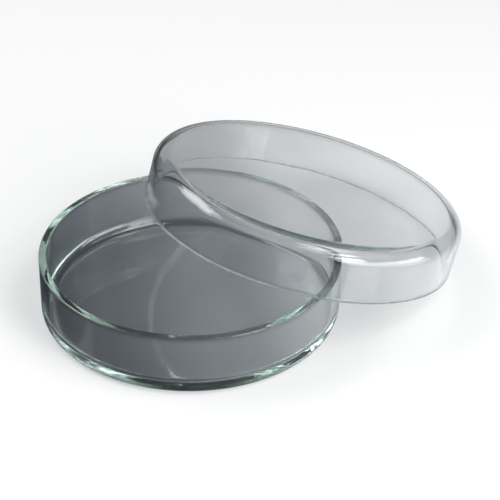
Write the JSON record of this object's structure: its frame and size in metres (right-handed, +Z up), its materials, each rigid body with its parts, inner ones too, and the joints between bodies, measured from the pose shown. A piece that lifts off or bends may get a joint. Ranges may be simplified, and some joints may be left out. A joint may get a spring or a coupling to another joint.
{
  "type": "petri dish",
  "caption": "Round shallow glass dish with straight walls, and its loose lid leaning on the dish's rim with one edge on the table.",
  "frame": {"origin": "centre of the dish's underside, on the table", "axes": "+Z up along the dish's axis, +X from the dish's centre towards the low end of the leaning lid; the XZ plane is the assembly's plane of symmetry"},
  "size_m": [0.1381, 0.1, 0.0423],
  "materials": {
    "dish_glass": "polished clear glass with a slight grey-green tint",
    "lid_glass": "polished clear glass with a slight grey-green tint"
  },
  "bodies": {
    "base": {"dish_base": "dish_glass"},
    "lid": {"dish_lid": "lid_glass"}
  },
  "joints": [
    {"name": "lid_lift", "type": "slide", "parent": "base", "child": "lid", "axis": [0, 0, 1], "range_m": [0, 0.06]}
  ]
}
